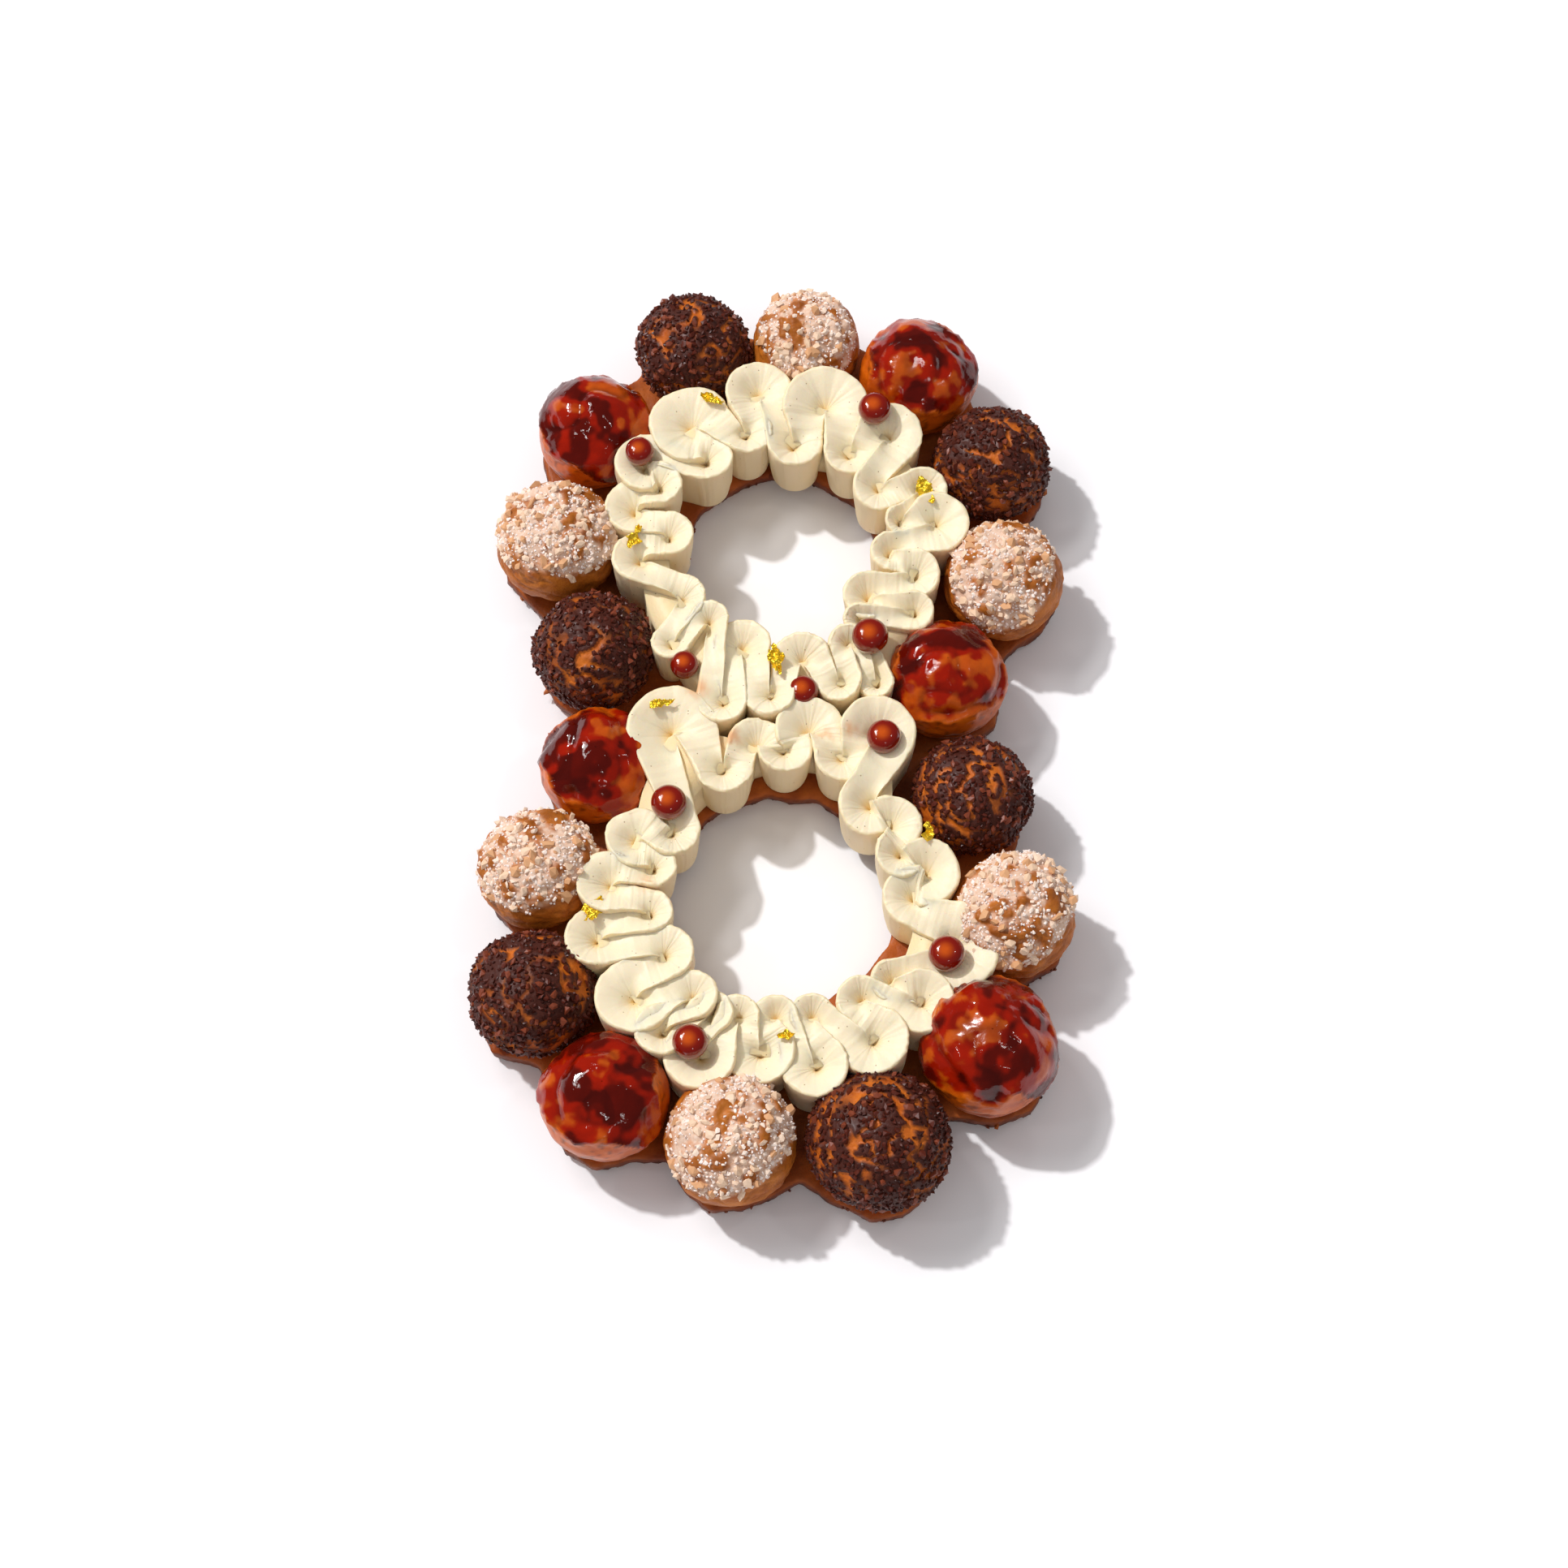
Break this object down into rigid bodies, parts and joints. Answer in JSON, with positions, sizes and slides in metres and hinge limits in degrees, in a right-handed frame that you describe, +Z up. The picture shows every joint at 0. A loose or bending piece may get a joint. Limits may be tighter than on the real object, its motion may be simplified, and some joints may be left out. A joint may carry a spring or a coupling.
{
  "type": "number cake",
  "caption": "Figure-eight cake of choux puffs standing on a baked base round zigzag-piped cream, with caramel pearls and gold leaf.",
  "frame": {"origin": "middle of the cake's outline in plan, on the surface the base rests on", "axes": "+Y towards the top of the figure eight, whose ring is the smaller one, +X to its right seen from above, +Z up"},
  "size_m": [0.1938, 0.3246, 0.0426],
  "materials": {
    "pastry": "baked pastry, dry and crumbly",
    "craquelin": "dark chocolate crumble baked on choux, dry with small glints",
    "sugared_choux": "golden choux under chopped nuts and icing sugar",
    "caramel_choux": "choux dipped in dark clear caramel, glossy",
    "cream": "piped vanilla cream, soft satin",
    "caramel_pearl": "clear red-brown caramel, mirror glossy",
    "gold_leaf": "edible gold leaf, crinkled and shiny"
  },
  "bodies": {
    "root": {"base": "pastry", "cream_lower": "cream", "cream_upper": "cream", "gold_leaf_1": "gold_leaf", "gold_leaf_2": "gold_leaf", "gold_leaf_3": "gold_leaf", "gold_leaf_4": "gold_leaf", "gold_leaf_5": "gold_leaf", "gold_leaf_6": "gold_leaf", "gold_leaf_7": "gold_leaf", "gold_leaf_8": "gold_leaf", "pearl_1": "caramel_pearl", "pearl_2": "caramel_pearl", "pearl_3": "caramel_pearl", "pearl_4": "caramel_pearl", "pearl_5": "caramel_pearl", "pearl_6": "caramel_pearl", "pearl_7": "caramel_pearl", "pearl_8": "caramel_pearl", "pearl_9": "caramel_pearl", "puff_caramel_03": "caramel_choux", "puff_caramel_06": "caramel_choux", "puff_caramel_09": "caramel_choux", "puff_caramel_12": "caramel_choux", "puff_caramel_15": "caramel_choux", "puff_caramel_18": "caramel_choux", "puff_chocolate_01": "craquelin", "puff_chocolate_04": "craquelin", "puff_chocolate_07": "craquelin", "puff_chocolate_10": "craquelin", "puff_chocolate_13": "craquelin", "puff_chocolate_16": "craquelin", "puff_sugar_02": "sugared_choux", "puff_sugar_05": "sugared_choux", "puff_sugar_08": "sugared_choux", "puff_sugar_11": "sugared_choux", "puff_sugar_14": "sugared_choux", "puff_sugar_17": "sugared_choux"}
  },
  "joints": []
}
